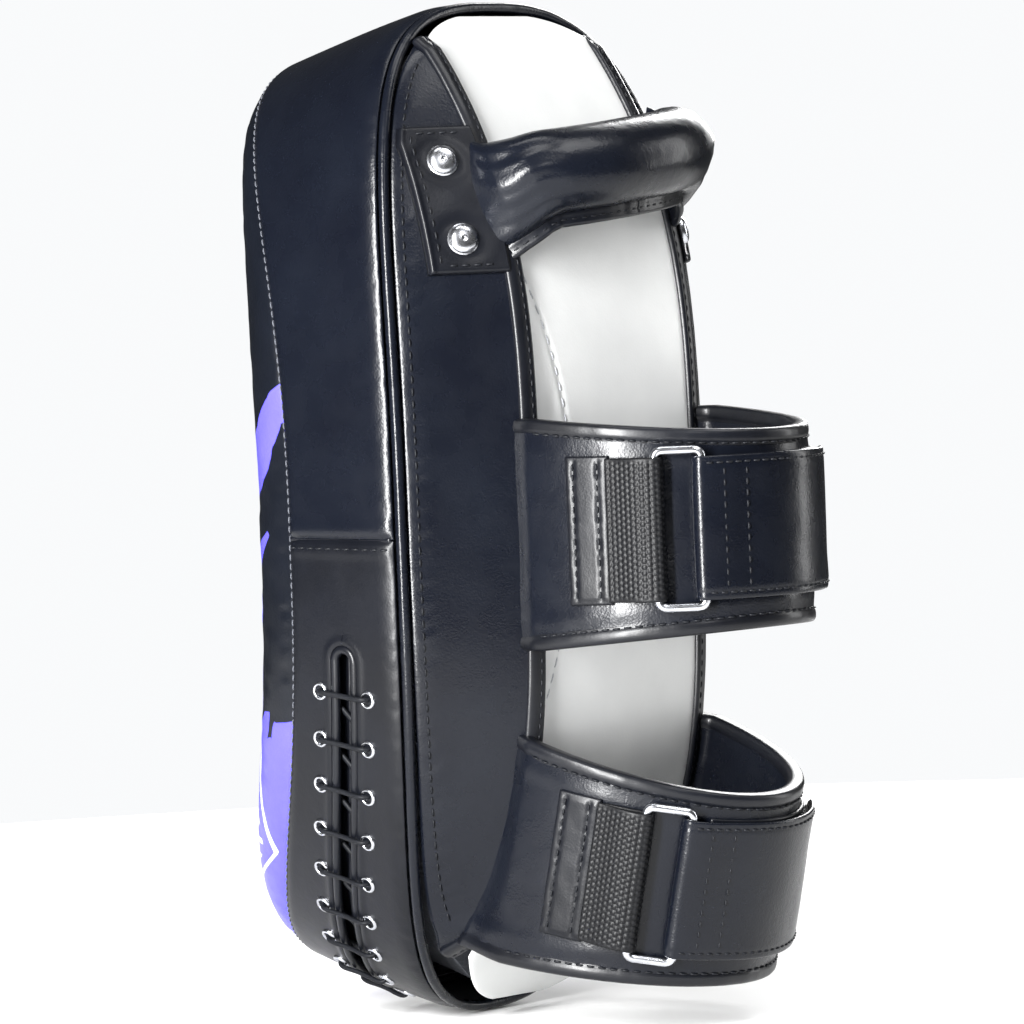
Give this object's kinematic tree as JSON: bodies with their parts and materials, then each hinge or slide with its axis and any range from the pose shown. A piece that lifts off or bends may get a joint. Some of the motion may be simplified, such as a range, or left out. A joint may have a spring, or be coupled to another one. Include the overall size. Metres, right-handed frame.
{
  "type": "thai pad",
  "caption": "Curved foam kick pad with a printed strike face, laced gusset, rear handle and two forearm straps with rings.",
  "frame": {"origin": "middle of the forearm panel's outer face", "axes": "+Z along the pad towards the handle end, +Y out of the forearm side, -Y towards the strike face, +X across"},
  "size_m": [0.1881, 0.2464, 0.3944],
  "materials": {
    "gloss_black_leather": "glossy coated leather",
    "matte_black_leather": "satin coated leather",
    "printed_face": "coated leather, black with a violet print",
    "off_white_leather": "satin coated leather",
    "webbing": "woven webbing, hook-and-loop and lace",
    "chrome": "polished plate",
    "foam": "closed-cell foam",
    "rope_core": "rope"
  },
  "bodies": {
    "root": {"strike_face_cover": "printed_face", "strike_foam": "foam", "core_foam": "foam", "forearm_foam": "foam", "forearm_panel": "off_white_leather", "gusset_upper": "gloss_black_leather", "gusset_lower": "matte_black_leather", "back_panel_right": "gloss_black_leather", "back_panel_left": "gloss_black_leather", "rail_piping_right": "matte_black_leather", "rail_piping_left": "matte_black_leather", "back_piping": "gloss_black_leather", "lacing_tongue": "matte_black_leather", "lace": "webbing", "eyelet_row_front": "chrome", "eyelet_row_back": "chrome", "handle_tab_right": "matte_black_leather", "handle_tab_left": "matte_black_leather", "rivet_upper_right": "chrome", "rivet_washer_upper_right": "chrome", "rivet_lower_right": "chrome", "rivet_washer_lower_right": "chrome", "rivet_upper_left": "chrome", "rivet_washer_upper_left": "chrome", "rivet_lower_left": "chrome", "rivet_washer_lower_left": "chrome", "upper_cuff": "gloss_black_leather", "upper_binding_top": "matte_black_leather", "upper_binding_bottom": "matte_black_leather", "upper_ring_tab": "gloss_black_leather", "upper_ring_webbing": "webbing", "upper_tail_base": "gloss_black_leather", "upper_loop_patch": "webbing", "lower_cuff": "gloss_black_leather", "lower_binding_top": "matte_black_leather", "lower_binding_bottom": "matte_black_leather", "lower_ring_tab": "gloss_black_leather", "lower_ring_webbing": "webbing", "lower_tail_base": "gloss_black_leather", "lower_loop_patch": "webbing"},
    "handle": {"handle_core": "rope_core", "handle_padding": "foam", "handle_cover": "gloss_black_leather"},
    "upper_ring": {"upper_ring": "chrome"},
    "upper_flap": {"upper_flap": "gloss_black_leather", "upper_hook_patch": "webbing"},
    "lower_ring": {"lower_ring": "chrome"},
    "lower_flap": {"lower_flap": "gloss_black_leather", "lower_hook_patch": "webbing"}
  },
  "joints": [
    {"name": "handle_rock", "type": "hinge", "parent": "root", "child": "handle", "pos_m": [0, -0.018, 0.131], "axis": [0.994, 0, -0.1095], "range_deg": [-7, 7], "stiffness_Nm_per_rad": 0.8},
    {"name": "upper_ring_swing", "type": "hinge", "parent": "root", "child": "upper_ring", "pos_m": [0.04798, 0.0581, -0.0055], "axis": [0, 0, -1], "range_deg": [0, 14]},
    {"name": "upper_flap_peel", "type": "hinge", "parent": "upper_ring", "child": "upper_flap", "pos_m": [0.03629, 0.07151, -0.0055], "axis": [0, 0, -1], "range_deg": [0, 110]},
    {"name": "lower_ring_swing", "type": "hinge", "parent": "root", "child": "lower_ring", "pos_m": [0.04798, 0.04185, -0.13811], "axis": [0, -0.2334, -0.9724], "range_deg": [0, 14]},
    {"name": "lower_flap_peel", "type": "hinge", "parent": "lower_ring", "child": "lower_flap", "pos_m": [0.03629, 0.05488, -0.14123], "axis": [0, -0.2334, -0.9724], "range_deg": [0, 110]}
  ]
}
